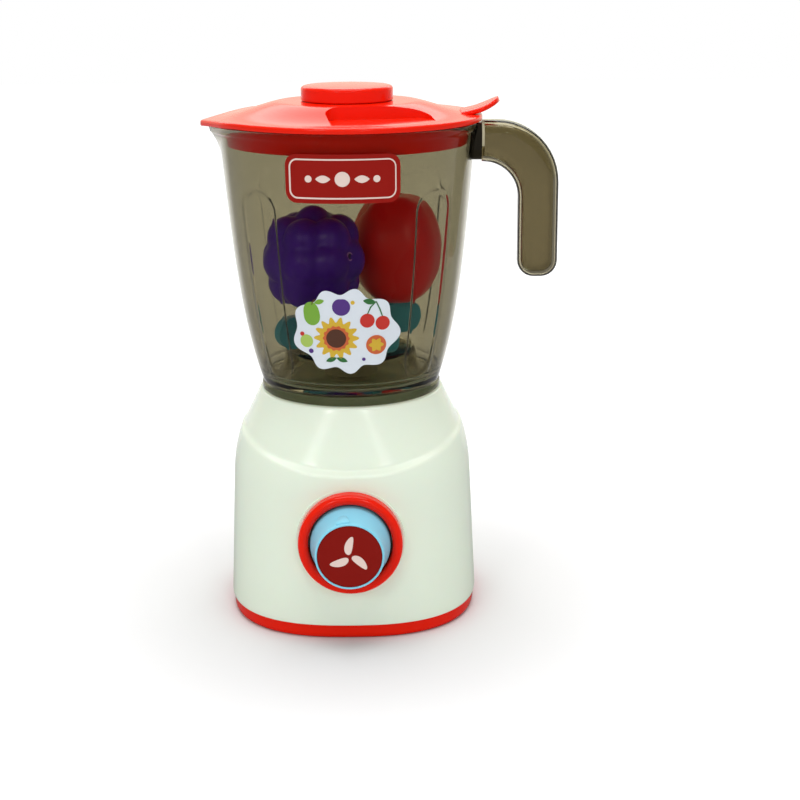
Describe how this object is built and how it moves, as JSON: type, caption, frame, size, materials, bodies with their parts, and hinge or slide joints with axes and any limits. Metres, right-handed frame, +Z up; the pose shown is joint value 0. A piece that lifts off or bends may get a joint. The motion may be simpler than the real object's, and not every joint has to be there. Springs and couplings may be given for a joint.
{
  "type": "toy blender",
  "caption": "Toy kitchen blender: white base with a hand-turned dial, clear smoked jug with handle, spout, lid and mixing wheel, and play foods.",
  "frame": {"origin": "centre of the base plate's underside, on the table", "axes": "+Z up along the jug's axis, -Y to the front (the dial), +X to the handle, -X to the spout"},
  "size_m": [0.1609, 0.1347, 0.242],
  "materials": {
    "shell_white": "satin moulded",
    "trim_red": "gloss",
    "knob_blue": "satin",
    "label_red": "printed film",
    "sticker_white": "printed film",
    "smoke_clear": "clear smoked plastic",
    "gear_cream": "satin",
    "steel": "zinc plated",
    "berry_purple": "gloss",
    "tomato_red": "gloss"
  },
  "bodies": {
    "base": {"base_shell": "shell_white", "base_plate": "trim_red", "plate_screws": "steel", "dial_bezel": "trim_red", "gear_bracket": "gear_cream", "bracket_screws": "steel", "drive_bush": "gear_cream", "click_spring": "steel", "click_screw": "steel"},
    "dial": {"dial_knob": "knob_blue", "dial_disc": "label_red", "crown_gear": "gear_cream", "crown_washer": "steel", "crown_screw": "steel"},
    "drive": {"drive_shaft": "steel", "drive_pinion": "gear_cream", "click_wheel": "gear_cream", "drive_coupler": "gear_cream", "shaft_clip": "steel"},
    "jug": {"jug_body": "smoke_clear", "jug_handle": "smoke_clear", "jug_label": "label_red", "jug_sticker": "sticker_white", "spindle_bush": "gear_cream"},
    "wheel": {"mixing_wheel": "knob_blue", "wheel_spindle": "steel", "wheel_dog": "gear_cream", "wheel_nut": "knob_blue"},
    "lid": {"lid": "trim_red"},
    "cap": {"lid_cap": "trim_red"},
    "berry": {"berry_cluster": "berry_purple"},
    "tomato_food": {"tomato": "tomato_red"}
  },
  "joints": [
    {"name": "dial_turn", "type": "hinge", "parent": "base", "child": "dial", "pos_m": [0, 0, 0.046], "axis": [0, 1, 0], "continuous": true},
    {"name": "drive_spin", "type": "hinge", "parent": "base", "child": "drive", "pos_m": [0, 0, 0.064], "axis": [0, 0, 1], "continuous": true},
    {"name": "jug_lift", "type": "slide", "parent": "base", "child": "jug", "axis": [0, 0, 1], "range_m": [0, 0.12]},
    {"name": "wheel_spin", "type": "hinge", "parent": "jug", "child": "wheel", "pos_m": [0, 0, 0.13], "axis": [0, 0, 1], "continuous": true},
    {"name": "lid_lift", "type": "slide", "parent": "jug", "child": "lid", "axis": [0, 0, 1], "range_m": [0, 0.08]},
    {"name": "cap_lift", "type": "slide", "parent": "lid", "child": "cap", "axis": [0, 0, 1], "range_m": [0, 0.04]},
    {"name": "berry_lift", "type": "slide", "parent": "jug", "child": "berry", "axis": [0, 0, 1], "range_m": [0, 0.02]},
    {"name": "tomato_lift", "type": "slide", "parent": "jug", "child": "tomato_food", "axis": [0, 0, 1], "range_m": [0, 0.02]}
  ],
  "couplings": [
    {"joint": "drive_spin", "follows": "dial_turn", "ratio": 2.4},
    {"joint": "wheel_spin", "follows": "dial_turn", "ratio": 2.4}
  ]
}
